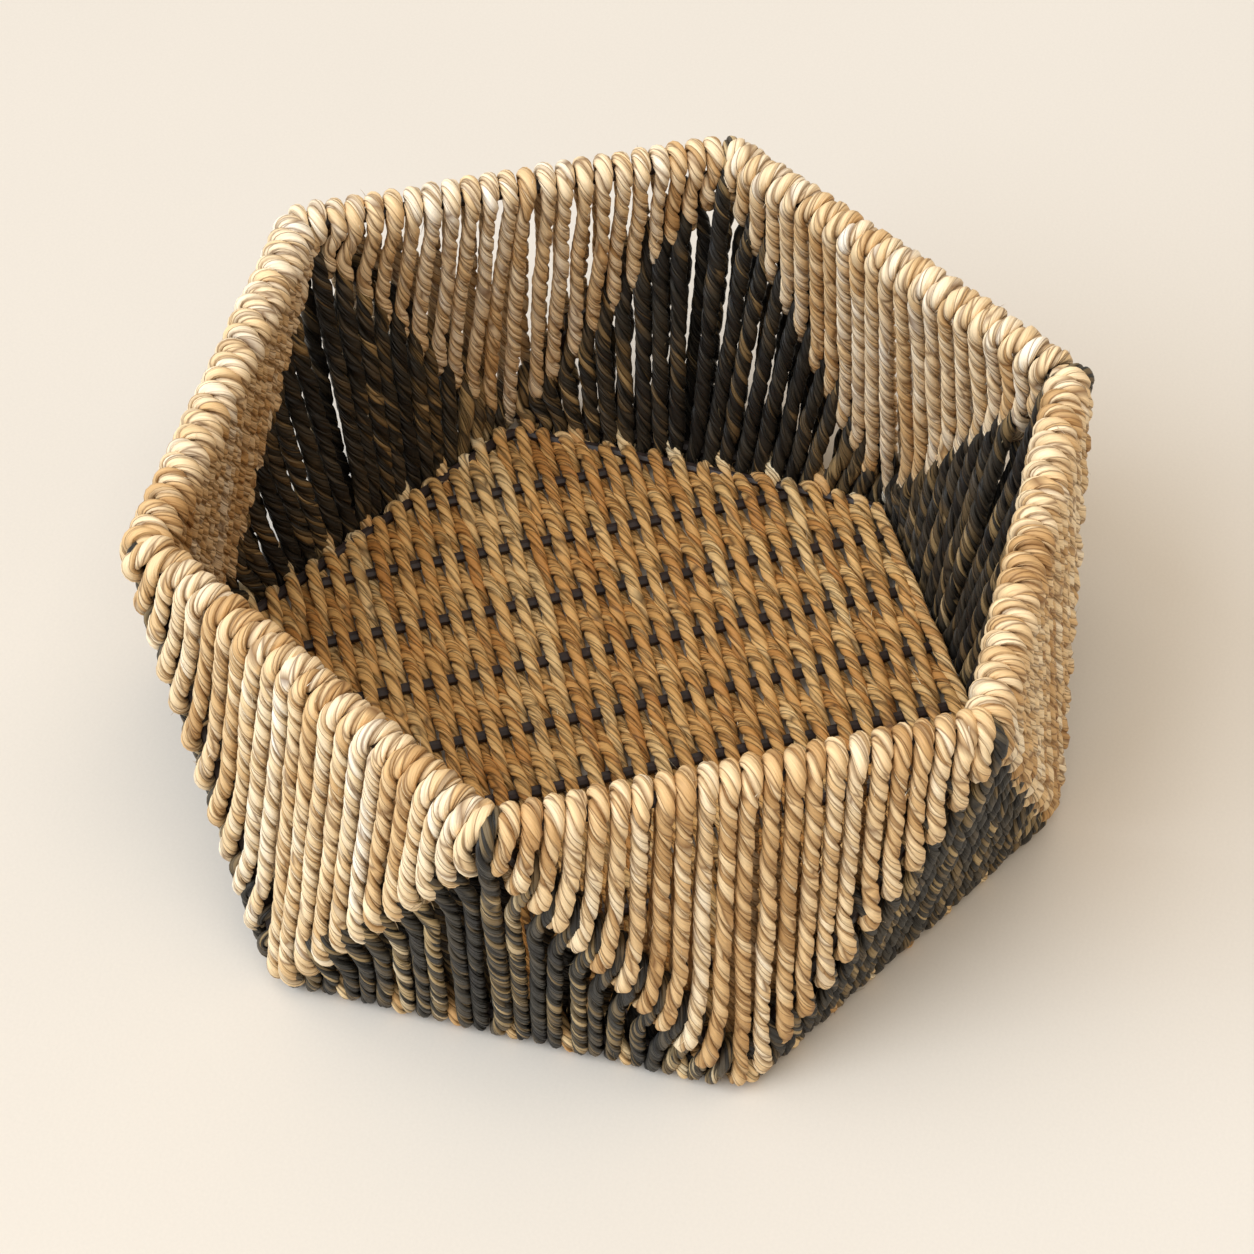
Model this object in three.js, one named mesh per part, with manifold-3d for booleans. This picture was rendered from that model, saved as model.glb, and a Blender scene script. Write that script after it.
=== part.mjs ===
// A low six-sided basket: welded wire frame, grass rope wound on its twelve wall panels, woven rope floor.
// Millimetres, +Z up. The origin is on the surface that the basket stands on, under its centre.
import * as THREE from "three";
import { mergeVertices } from "three/addons/utils/BufferGeometryUtils.js";
import Module from "manifold-3d";

// Driving dimensions
const SIDES = 6;
const RIM_RADIUS = 150; // wire centre to axis, at a corner
const BASE_RADIUS = 148; // wire centre to axis, at a corner
const WALL_HEIGHT = 124; // wire centre of the base ring to wire centre of the rim
const WIRE_DIAMETER = 5; // rings and struts
const ROD_DIAMETER = 4; // floor rods and the floor's edge wire
const ROD_SPACING = 27;
const ROD_MARGIN = 20; // least room between the outermost rod and the corner of the floor's edge wire
const WIRE_CORNER_RADIUS = 9; // bend of a ring's corner, on the wire's centre line
const CORD_WIDTH = 5; // wall rope, across its run
const CORD_HEIGHT = 4.1; // wall rope, pressed on the wire
const STRAND_PITCH = 6.7; // least distance of neighbouring strands along a ring
const STRUT_MARGIN = 9.3; // first loop on a strut, from the strut's end
const KINK_DISTANCE = 7.7; // where a strand bends to cross a strut squarely
const OUTER_LEAN = 1.6; // how far a loop's outer strand leans, at the ring
const INNER_LEAN = 3; // how far a loop's inner strand leans, at the ring
const FLOOR_CORD_WIDTH = 4;
const FLOOR_CORD_HEIGHT = 3.6;
const FLOOR_CORD_PITCH = 4.5; // one pass of the floor rope to the next
const FLOOR_RUN_OUT = 8; // least run of a pass beyond the last rod that it crosses
const SEAT_CLEARANCE = 0.5; // between a wall rope and the wire that it is wound on
const CLEARANCE = 0.3; // between the floor's wires and rope
const WELD_GAP = 0.3; // between the end of a strut or rod and the wire that it is welded to
const LEAST_SELF_GAP = 0.4;

// Counts and shares
const CORD_FLAT_SHARE = 1 / 10; // share of the rope's width that is worn flat where the basket stands
const WIRE_FACETS = 8;
const CORNER_STEPS = 2;

// Sizes that follow
const wireRadius = WIRE_DIAMETER / 2;
const rodRadius = ROD_DIAMETER / 2;
const seat = wireRadius + SEAT_CLEARANCE; // wire centre to the flat inner side of a wall rope
const footFlat = CORD_WIDTH * CORD_FLAT_SHARE;
const baseHeight = seat + CORD_HEIGHT - footFlat; // base ring's wire centre above the surface
const rimHeight = baseHeight + WALL_HEIGHT;
const cornerAngle = (2 * Math.PI) / SIDES;
const up = new THREE.Vector3(0, 0, 1);

const IRON = { color: 0x2b211d, roughness: 0.55, metalness: 0.6 };
const NATURAL = { color: 0xc3a478, roughness: 0.85, metalness: 0 };
const BLACK = { color: 0x3a3a3a, roughness: 0.8, metalness: 0 };
const FLOOR = { color: 0xa07c4c, roughness: 0.85, metalness: 0 };

const wasm = await Module();
wasm.setup();
const basket = new THREE.Group();

function addPiece(name, geometry, finish) {
  const material = new THREE.MeshStandardMaterial(finish);
  const mesh = new THREE.Mesh(geometry, material);
  mesh.name = name;
  basket.add(mesh);
  return mesh;
}

function polar(radius, angle, height) {
  return new THREE.Vector3(radius * Math.cos(angle), radius * Math.sin(angle), height);
}

function rimCorner(index) {
  return polar(RIM_RADIUS, index * cornerAngle, rimHeight);
}

function baseCorner(index) {
  return polar(BASE_RADIUS, (index + 0.5) * cornerAngle, baseHeight);
}

// Joins rings of equal point counts into one closed body, or into a ring when loop is true.
function skin(rings, loop) {
  const sides = rings[0].length;
  const points = rings.flat();
  const faces = [];
  const spans = loop ? rings.length : rings.length - 1;
  for (let span = 0; span < spans; span += 1) {
    const near = span * sides;
    const far = ((span + 1) % rings.length) * sides;
    for (let side = 0; side < sides; side += 1) {
      const next = (side + 1) % sides;
      faces.push([near + side, near + next, far + next]);
      faces.push([near + side, far + next, far + side]);
    }
  }
  if (!loop) {
    const last = (rings.length - 1) * sides;
    for (let side = 1; side < sides - 1; side += 1) {
      faces.push([0, side + 1, side]);
      faces.push([last, last + side, last + side + 1]);
    }
  }
  const geometry = new THREE.BufferGeometry();
  geometry.setAttribute("position", new THREE.Float32BufferAttribute(points.flatMap((p) => p.toArray()), 3));
  geometry.setIndex(volumeOf(points, faces) < 0 ? faces.flatMap((f) => [f[0], f[2], f[1]]) : faces.flat());
  return geometry.toNonIndexed();
}

function volumeOf(points, faces) {
  let volume = 0;
  for (const [a, b, c] of faces) {
    volume += points[a].dot(new THREE.Vector3().crossVectors(points[b], points[c]));
  }
  return volume;
}

// A round wire along straight runs, with a mitred ring of facets at each point of the path.
function wireGeometry(path, radius, loop) {
  const rings = path.map((point, index) => {
    const before = path[(index + path.length - 1) % path.length];
    const after = path[(index + 1) % path.length];
    const arriving = new THREE.Vector3().subVectors(point, before).normalize();
    const leaving = new THREE.Vector3().subVectors(after, point).normalize();
    if (!loop && index === 0) arriving.copy(leaving);
    if (!loop && index === path.length - 1) leaving.copy(arriving);
    const along = new THREE.Vector3().addVectors(arriving, leaving).normalize();
    const side = new THREE.Vector3().crossVectors(along, up).normalize();
    const top = new THREE.Vector3().crossVectors(side, along);
    const stretch = 1 / along.dot(leaving);
    const ring = [];
    for (let facet = 0; facet < WIRE_FACETS; facet += 1) {
      const turn = ((facet + 0.5) / WIRE_FACETS) * 2 * Math.PI;
      const offset = side.clone().multiplyScalar(radius * stretch * Math.cos(turn));
      ring.push(point.clone().add(offset).addScaledVector(top, radius * Math.sin(turn)));
    }
    return ring;
  });
  return skin(rings, loop);
}

// A six-sided ring of wire with its corners bent round.
function ringPath(radius, firstAngle, height, bend) {
  const path = [];
  for (let corner = 0; corner < SIDES; corner += 1) {
    const middle = firstAngle + corner * cornerAngle;
    const centre = polar(radius - bend / Math.cos(cornerAngle / 2), middle, height);
    for (let step = 0; step <= CORNER_STEPS; step += 1) {
      const turn = middle + (step / CORNER_STEPS - 0.5) * cornerAngle;
      path.push(centre.clone().add(polar(bend, turn, 0)));
    }
  }
  return path;
}

// Loops on a strut: as many as leave each strand its pitch, also across the middle of the narrower panels.
const strutSpan = rimCorner(0).distanceTo(baseCorner(0));
const strutShare = (Math.min(RIM_RADIUS, BASE_RADIUS) * Math.sin(cornerAngle / 2)) / strutSpan;
const kinkRun = KINK_DISTANCE * Math.tan(Math.acos(strutShare));
const loopRoom = 2 * (strutSpan - STRUT_MARGIN - kinkRun);
const longHalfLoops = Math.floor(((2 * loopRoom * strutShare) / STRAND_PITCH + 3) / 4);
const loopStep = loopRoom / (4 * longHalfLoops - 3);

// Places on a wall panel. Its edge is a side of the rim or of the base ring, and its apex a corner of the other.
// Along each strut the loops of the two colours take turns, one step apart.
function panelOf(start, end, apex, longFirst) {
  const edge = new THREE.Vector3().subVectors(end, start);
  const length = edge.length();
  const along = edge.normalize();
  const middle = start.clone().addScaledVector(along, length / 2);
  const inward = new THREE.Vector3().subVectors(apex, middle).normalize();
  const level = new THREE.Vector3(middle.x, middle.y, 0).normalize();
  const normal = new THREE.Vector3().crossVectors(along, inward).normalize();
  if (normal.dot(level) < 0) normal.negate();
  const past = new THREE.Vector3(0, 0, -Math.sign(inward.z));
  const strut = new THREE.Vector3().subVectors(apex, start);
  strut.normalize();
  const cosine = strut.dot(along);
  const sine = strut.dot(inward);
  const firstHalf = longFirst ? longHalfLoops : longHalfLoops - 1;
  const loops = 2 * longHalfLoops - 1;
  return { start, along, inward, level, normal, past, length, cosine, sine, firstHalf, loops, longFirst };
}

// A point where a loop meets its strut, at a distance from the strut, on the outer (+1) or inner (-1) side.
function strutPoint(panel, slot, distance, side) {
  const mirrored = slot >= panel.firstHalf;
  const order = mirrored ? panel.loops - 1 - slot : slot;
  const long = mirrored !== panel.longFirst;
  const reach = STRUT_MARGIN + (2 * order + (long ? 0 : 1)) * loopStep;
  const across = reach * panel.cosine + distance * panel.sine;
  const depth = reach * panel.sine - distance * panel.cosine;
  return panel.start
    .clone()
    .addScaledVector(panel.along, mirrored ? panel.length - across : across)
    .addScaledVector(panel.inward, depth)
    .addScaledVector(panel.normal, side * seat);
}

// A point beside the ring's wire, just past it, at a place along the panel's edge.
function ringPoint(panel, place, side) {
  const rise = panel.past.z * seat;
  const out = (side * seat - rise * panel.normal.z) / panel.normal.dot(panel.level);
  return panel.start
    .clone()
    .addScaledVector(panel.along, place)
    .addScaledVector(panel.level, out)
    .addScaledVector(up, rise);
}

function edgePlace(panel, slot) {
  const strand = strutPoint(panel, slot, KINK_DISTANCE, 0);
  return strand.sub(panel.start).dot(panel.along);
}

// The winding's corners, each with the way that the rope's ridge faces on the run that follows it.
function windingRoute(panel) {
  const pitch = edgePlace(panel, 1) - edgePlace(panel, 0);
  const inside = panel.normal.clone().negate();
  const route = [];
  route.push({ at: ringPoint(panel, edgePlace(panel, 0) + INNER_LEAN - pitch, -1), facing: panel.past });
  for (let slot = 0; slot < panel.loops; slot += 1) {
    const place = edgePlace(panel, slot);
    const foot = strutPoint(panel, slot, 0, 0);
    const beyond = strutPoint(panel, slot, -seat, 0).sub(foot).normalize();
    route.push({ at: ringPoint(panel, place - OUTER_LEAN, 1), facing: panel.normal });
    route.push({ at: strutPoint(panel, slot, KINK_DISTANCE, 1), facing: panel.normal });
    route.push({ at: strutPoint(panel, slot, -seat, 1), facing: beyond });
    route.push({ at: strutPoint(panel, slot, -seat, -1), facing: inside });
    route.push({ at: strutPoint(panel, slot, KINK_DISTANCE, -1), facing: inside });
    route.push({ at: ringPoint(panel, place + INNER_LEAN, -1), facing: panel.past });
  }
  const last = edgePlace(panel, panel.loops - 1) + pitch - OUTER_LEAN;
  route.push({ at: ringPoint(panel, last, 1), facing: panel.past });
  return route;
}

// One run's direction, its ridge's direction and the direction across both.
function runOf(from, to, facing) {
  const along = new THREE.Vector3().subVectors(to, from).normalize();
  const ridge = facing.clone().addScaledVector(along, -facing.dot(along)).normalize();
  const across = new THREE.Vector3().crossVectors(along, ridge);
  return { along, ridge, across };
}

// A corner of the section, carried along a run to the plane that halves the bend at a point.
function onMitre(point, run, plane, across, ridge) {
  const offset = run.across.clone().multiplyScalar(across).addScaledVector(run.ridge, ridge);
  const shift = -offset.dot(plane) / run.along.dot(plane);
  return point.clone().add(offset).addScaledVector(run.along, shift);
}

// A rope of constant section along a route. The section's points are pairs: across the run and towards the ridge.
function cordRings(route, section) {
  const runs = [];
  for (let index = 0; index < route.length - 1; index += 1) {
    runs.push(runOf(route[index].at, route[index + 1].at, route[index].facing));
  }
  return route.map(({ at }, index) => {
    const arriving = runs[Math.max(index - 1, 0)];
    const leaving = runs[Math.min(index, runs.length - 1)];
    const plane = new THREE.Vector3().addVectors(arriving.along, leaving.along).normalize();
    return section.map(([across, ridge]) => {
      const before = onMitre(at, arriving, plane, across, ridge);
      const after = onMitre(at, leaving, plane, across, ridge);
      return before.lerp(after, 0.5);
    });
  });
}

// The least gap between runs of one rope that don't follow each other, measured on points of its edge lines.
function leastSelfGap(rings, apart, spacing) {
  const samples = [];
  for (let index = 0; index < rings.length - 1; index += 1) {
    const steps = Math.max(1, Math.ceil(rings[index][0].distanceTo(rings[index + 1][0]) / spacing));
    for (let step = 0; step < steps; step += 1) {
      for (let corner = 0; corner < rings[index].length; corner += 1) {
        const point = rings[index][corner].clone().lerp(rings[index + 1][corner], step / steps);
        samples.push({ index, point });
      }
    }
  }
  samples.sort((a, b) => a.point.x - b.point.x);
  let least = Infinity;
  for (let first = 0; first < samples.length; first += 1) {
    for (let second = first + 1; second < samples.length; second += 1) {
      const one = samples[first];
      const other = samples[second];
      if (other.point.x - one.point.x > least) break;
      if (Math.abs(one.index - other.index) < apart) continue;
      least = Math.min(least, one.point.distanceTo(other.point));
    }
  }
  return least;
}

function reportGap(name, gap) {
  console.log(name + ": least gap to itself " + gap.toFixed(2) + " mm");
  if (gap < LEAST_SELF_GAP) throw new Error(name + " lies closer than " + LEAST_SELF_GAP + " mm to itself");
}

function solidOf(geometry) {
  const bare = mergeVertices(geometry);
  return new wasm.Manifold(
    new wasm.Mesh({
      numProp: 3,
      vertProperties: bare.attributes.position.array,
      triVerts: new Uint32Array(bare.index.array),
    }),
  );
}

function geometryOf(solid) {
  const mesh = solid.getMesh();
  const geometry = new THREE.BufferGeometry();
  geometry.setAttribute("position", new THREE.BufferAttribute(mesh.vertProperties, 3));
  geometry.setIndex(new THREE.BufferAttribute(mesh.triVerts, 1));
  return geometry;
}

// Takes off what lies under the surface that the basket stands on.
function cutFlatAtSurface(geometry) {
  const width = 2 * (BASE_RADIUS + seat + CORD_HEIGHT);
  const ground = new THREE.BoxGeometry(width, width, WALL_HEIGHT);
  ground.deleteAttribute("normal");
  ground.deleteAttribute("uv");
  ground.translate(0, 0, -WALL_HEIGHT / 2);
  return geometryOf(solidOf(geometry).subtract(solidOf(ground)));
}

// Wire frame
const strutInset = 2 * wireRadius + WELD_GAP;

function addFrame() {
  const rim = ringPath(RIM_RADIUS, 0, rimHeight, WIRE_CORNER_RADIUS);
  const base = ringPath(BASE_RADIUS, cornerAngle / 2, baseHeight, WIRE_CORNER_RADIUS);
  addPiece("rim_ring", wireGeometry(rim, wireRadius, true), IRON);
  addPiece("base_ring", wireGeometry(base, wireRadius, true), IRON);
  for (let corner = 0; corner < SIDES; corner += 1) {
    const top = rimCorner(corner);
    [baseCorner(corner - 1), baseCorner(corner)].forEach((bottom, order) => {
      const along = new THREE.Vector3().subVectors(bottom, top).normalize();
      const path = [top.clone().addScaledVector(along, strutInset), bottom.clone().addScaledVector(along, -strutInset)];
      addPiece("strut_" + (2 * corner + order + 1), wireGeometry(path, wireRadius, false), IRON);
    });
  }
}

// Wall windings. Every section is flat on the wire's side and ridged outside.
const wallSection = [
  [-CORD_WIDTH / 2, 0],
  [CORD_WIDTH / 2, 0],
  [0, CORD_HEIGHT],
];

function addWindings() {
  const loopCorners = 6;
  for (let side = 0; side < SIDES; side += 1) {
    const natural = panelOf(rimCorner(side), rimCorner(side + 1), baseCorner(side), true);
    const rings = cordRings(windingRoute(natural), wallSection);
    reportGap("natural_winding_" + (side + 1), leastSelfGap(rings, loopCorners - 1, CORD_WIDTH / 4));
    addPiece("natural_winding_" + (side + 1), skin(rings, false), NATURAL);
    const black = panelOf(baseCorner(side - 1), baseCorner(side), rimCorner(side), false);
    const blackRings = cordRings(windingRoute(black), wallSection);
    reportGap("black_winding_" + (side + 1), leastSelfGap(blackRings, loopCorners - 1, CORD_WIDTH / 4));
    addPiece("black_winding_" + (side + 1), cutFlatAtSurface(skin(blackRings, false)), BLACK);
  }
}

// Floor: an edge wire inside the black windings, rods across it, and one rope woven over and under the rods.
const leanCosine = Math.cos(Math.atan2(RIM_RADIUS - BASE_RADIUS * Math.cos(cornerAngle / 2), WALL_HEIGHT));
const wallInside = BASE_RADIUS * Math.cos(cornerAngle / 2) - (seat + CORD_HEIGHT) / leanCosine;
const floorApothem = wallInside - 2 * CLEARANCE - rodRadius;
const floorRadius = floorApothem / Math.cos(cornerAngle / 2);
const rodCount = 1 + 2 * Math.floor((floorRadius - ROD_MARGIN) / ROD_SPACING);

function addFloorWires() {
  const edge = ringPath(floorRadius, cornerAngle / 2, baseHeight, WIRE_CORNER_RADIUS);
  addPiece("floor_edge_wire", wireGeometry(edge, rodRadius, true), IRON);
  const turned = cornerAngle / 2;
  for (let rod = 0; rod < rodCount; rod += 1) {
    const place = (rod - (rodCount - 1) / 2) * ROD_SPACING;
    const half = rodHalfLength(Math.abs(place));
    const path = [new THREE.Vector3(place, -half, baseHeight), new THREE.Vector3(place, half, baseHeight)];
    path.forEach((point) => point.applyAxisAngle(up, turned));
    addPiece("floor_rod_" + (rod + 1), wireGeometry(path, rodRadius, false), IRON);
  }
}

function rodHalfLength(place) {
  const square = floorApothem - rodRadius - WELD_GAP;
  const slanted = Math.tan(cornerAngle) * (floorRadius - place - rodRadius) - 2 * (rodRadius + WELD_GAP);
  return Math.min(square, slanted);
}

// How far a pass of the floor rope reaches, clear of the edge wire and of a rod that it doesn't cross.
function passReach(offset) {
  const slant = Math.tan(cornerAngle / 2);
  const edgeClear = (rodRadius + CLEARANCE) / Math.cos(cornerAngle / 2) + (FLOOR_CORD_WIDTH / 2) * (1 + slant);
  const rodClear = rodRadius + CLEARANCE + FLOOR_CORD_WIDTH / 2;
  const rods = Math.floor((rodCount - 1) / 2);
  let reach = floorRadius - Math.abs(offset) * slant - edgeClear;
  for (let rod = 0; rod <= rods; rod += 1) {
    const place = rod * ROD_SPACING;
    if (place > reach - FLOOR_RUN_OUT && place < reach + rodClear) reach = place - rodClear;
  }
  return reach;
}

function addFloorWeave() {
  const room = 2 * (floorApothem - rodRadius - CLEARANCE - FLOOR_CORD_WIDTH / 2);
  const passes = 1 + Math.floor(room / FLOOR_CORD_PITCH);
  const slope = Math.atan2(2 * (rodRadius + CLEARANCE) + FLOOR_CORD_HEIGHT, ROD_SPACING);
  const swing = (rodRadius + CLEARANCE + FLOOR_CORD_HEIGHT / 2) / Math.cos(slope);
  const route = [];
  for (let pass = 0; pass < passes; pass += 1) {
    const offset = (pass - (passes - 1) / 2) * FLOOR_CORD_PITCH;
    const heading = pass % 2 === 0 ? 1 : -1;
    const reachBefore = passReach(Math.max(Math.abs(offset), Math.abs(offset - FLOOR_CORD_PITCH)));
    const reachAfter = passReach(Math.max(Math.abs(offset), Math.abs(offset + FLOOR_CORD_PITCH)));
    route.push(new THREE.Vector3(-heading * reachBefore, offset, 0));
    for (let rod = 0; rod < rodCount; rod += 1) {
      const place = heading * (rod - (rodCount - 1) / 2) * ROD_SPACING;
      const limit = place * heading < 0 ? reachBefore : reachAfter;
      if (Math.abs(place) > limit) continue;
      const index = Math.round(place / ROD_SPACING + (rodCount - 1) / 2);
      const above = (index + pass) % 2 === 0 ? 1 : -1;
      route.push(new THREE.Vector3(place, offset, above * swing));
    }
    route.push(new THREE.Vector3(heading * reachAfter, offset, 0));
  }
  const section = [
    [-FLOOR_CORD_WIDTH / 2, 0],
    [0, -FLOOR_CORD_HEIGHT / 2],
    [FLOOR_CORD_WIDTH / 2, 0],
    [0, FLOOR_CORD_HEIGHT / 2],
  ];
  const rings = cordRings(route.map((at) => ({ at, facing: up })), section);
  reportGap("floor_weave", leastSelfGap(rings, 3, FLOOR_CORD_WIDTH / 4));
  const geometry = skin(rings, false);
  geometry.rotateZ(cornerAngle / 2);
  geometry.translate(0, 0, baseHeight);
  addPiece("floor_weave", geometry, FLOOR);
}

addFrame();
addWindings();
addFloorWires();
addFloorWeave();

export default basket;
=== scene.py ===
"""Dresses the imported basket: twisted grass rope wound and woven on a welded iron wire frame."""

import math
from typing import NamedTuple

import bpy
import numpy as np
from bpy.props import FloatProperty, FloatVectorProperty, PointerProperty
from mathutils import Matrix, Vector


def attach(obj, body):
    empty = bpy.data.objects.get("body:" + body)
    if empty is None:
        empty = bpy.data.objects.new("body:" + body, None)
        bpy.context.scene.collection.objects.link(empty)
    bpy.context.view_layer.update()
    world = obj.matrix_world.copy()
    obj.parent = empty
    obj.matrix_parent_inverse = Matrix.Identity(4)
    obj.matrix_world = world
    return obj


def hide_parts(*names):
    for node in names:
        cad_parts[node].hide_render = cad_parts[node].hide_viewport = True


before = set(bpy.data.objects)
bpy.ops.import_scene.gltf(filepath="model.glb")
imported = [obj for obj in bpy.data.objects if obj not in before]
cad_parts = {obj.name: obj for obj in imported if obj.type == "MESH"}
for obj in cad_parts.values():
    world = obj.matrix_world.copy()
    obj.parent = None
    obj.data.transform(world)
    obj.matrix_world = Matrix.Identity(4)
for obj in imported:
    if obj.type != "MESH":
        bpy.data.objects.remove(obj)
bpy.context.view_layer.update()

bl_info = {
    "name": "Rope basket dressing",
    "version": (1, 0, 0),
    "blender": (4, 5, 0),
    "location": "View3D > Sidebar > Basket",
    "description": "Winds and weaves the rope of a six-sided basket on its iron wire frame",
    "category": "Object",
}

# The frame that carries the rope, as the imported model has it. Lengths are in millimetres up to
# RopeWork.build, which makes metres of them.
RIM_RADIUS = 150.0
BASE_RADIUS = 148.0
RIM_HEIGHT = 130.6
BASE_HEIGHT = 6.6
WIRE_RADIUS = 2.5
ROD_RADIUS = 2.0
ROD_SPACING = 27.0
EDGE_WIRE_RADIUS = 137.2
CORNER_EASE = 1.4  # a bent ring corner lies this much inside the sharp one
SIXTH = math.pi / 3  # of a full turn
MM = 0.001  # in metres

# How finely rope is drawn, and how its route is eased
RING_STEP = 1.35
FLOOR_RING_STEP = 1.45
FINER = 3  # steps of the easing in one step of the rope
EASE_REACH = 3  # how far the easing reaches, in softnesses
FIRST_CROSS = (0.3, 0.2, 1.0)  # a direction that no route starts along
PLY_SIDES = 9
HAIR_RINGS = 6
HAIR_SIDES = 3
MM_TO_UV = 0.1  # one unit of the ply map is 10 mm

# One ply of a two-ply rope, as shares of the rope's diameter
PLY_CENTRE = 0.195  # from the rope's middle to the ply's
PLY_DEEP = 0.305  # half its depth, towards the other ply
PLY_WIDE = 0.445  # half its width
PLY_AROUND = 1.9  # the way round it

# A rope's end narrows over this length to this share of its thickness
END_TAPER = 3.0
END_SHARE = 0.15
FIRST_TURN = (0.0, 6.28)  # where the plies' twist may start, in radians

# How hand-made rope varies: over what length, and by what share, or by what angle in radians
LAY_DRIFT = (30.0, 0.10)
THICKNESS_DRIFT = (22.0, 0.035)
ANGLE_DRIFT = (18.0, 0.10)
PLY_DRIFT = (9.0, 0.05)
WIDTH_DRIFT = (12.0, 0.05)
RIDGE_DRIFT = (8.0, 0.03)
WANDER_LENGTH = 16.0
SPARE_KNOTS = 4

# Shortest and longest stretch of one tone, in a strand, in a ply and in its leaf strips
STRAND_STRETCH = (60.0, 260.0)
PLY_STRETCH = (35.0, 150.0)
LEAF_STRETCH = (12.0, 60.0)
TONE_EASE = 3.0
STRAND_IN_PLY = 0.78  # share of a ply's tone that it has from its strand

# Stray fibres
HAIR_LENGTH = (3.0, 9.0)
HAIR_WIDTH = (0.10, 0.22)
HAIR_TAPER = 0.75  # share by which its tip is thinner
HAIR_ROOT = 0.42  # from the rope's middle, as a share of its diameter
HAIR_LIFT = (0.25, 1.0)
HAIR_RISE = 2.2  # how far its lift takes the tip outwards, by this power of the way along it
HAIR_POWER = 1.6
HAIR_BEND = (0.0, 0.5)  # mean and spread of its bend to the side
HAIR_SWING = 2.0  # how far that bend takes the tip
HAIR_TONE = (0.6, 1.0)
HAIR_MARGIN = 8  # rings at each end of a rope that have none

# What rests on the surface is this far above it
ROPE_REST = 0.15
HAIR_REST = 0.1


def mm(value):
    """Metres of a property as millimetres."""
    return value * 1000.0


def unit(vector):
    return vector / np.linalg.norm(vector)


def polar(radius, angle, height):
    return np.array([radius * math.cos(angle), radius * math.sin(angle), height])


def rim_corner(index):
    return polar(RIM_RADIUS, index * SIXTH, RIM_HEIGHT)


def base_corner(index):
    return polar(BASE_RADIUS, (index + 0.5) * SIXTH, BASE_HEIGHT)


# Rope geometry


def distances(points):
    """How far along a route each of its points lies."""
    gaps = np.linalg.norm(np.diff(points, axis=0), axis=1)
    return np.concatenate([[0.0], np.cumsum(gaps)])


def drift(rng, count, step, length, amount):
    """A smooth random run of values, one for each step, that wanders over about that length."""
    knots = int(count * step / length) + SPARE_KNOTS
    values = rng.normal(0.0, amount, knots)
    at = np.linspace(0, knots - 1.001, count)  # ends just short of the last knot
    low = at.astype(int)
    share = at - low
    share = share * share * (3 - 2 * share)
    return values[low] * (1 - share) + values[low + 1] * share


def patches(rng, count, step, shortest, longest):
    """A random value that holds for a stretch of rope and then changes, eased at each change."""
    values = np.empty(count)
    start = 0
    while start < count:
        run = max(2, int(rng.uniform(shortest, longest) / step))
        values[start : start + run] = rng.uniform(0.0, 1.0)
        start += run
    reach = max(1, int(TONE_EASE / step))
    kernel = np.ones(2 * reach + 1) / (2 * reach + 1)
    return np.convolve(np.pad(values, reach, "edge"), kernel, "valid")


def eased_route(points, step, softness):
    """Even steps along a route whose corners are rounded over the given softness."""
    points = np.asarray(points, float)
    at = distances(points)
    fine = step / FINER
    along = np.linspace(0.0, at[-1], int(at[-1] / fine))
    dense = np.column_stack([np.interp(along, at, points[:, axis]) for axis in range(3)])
    reach = int(EASE_REACH * softness / fine)
    kernel = np.exp(-0.5 * (np.arange(-reach, reach + 1) * fine / softness) ** 2)
    kernel /= kernel.sum()
    padded = np.pad(dense, ((reach, reach), (0, 0)), "edge")
    eased = np.column_stack([np.convolve(padded[:, axis], kernel, "valid") for axis in range(3)])
    return eased[::FINER]


def carried_frames(points):
    """Tangents along a route, with two cross directions that turn with it and never spin."""
    tangent = np.gradient(points, axis=0)
    tangent /= np.linalg.norm(tangent, axis=1)[:, None]
    side = np.empty_like(points)
    side[0] = unit(np.cross(tangent[0], FIRST_CROSS))
    for index in range(1, len(points)):
        carried = side[index - 1] - tangent[index] * np.dot(side[index - 1], tangent[index])
        side[index] = carried / math.sqrt(np.dot(carried, carried))
    return tangent, side, np.cross(tangent, side)


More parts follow.
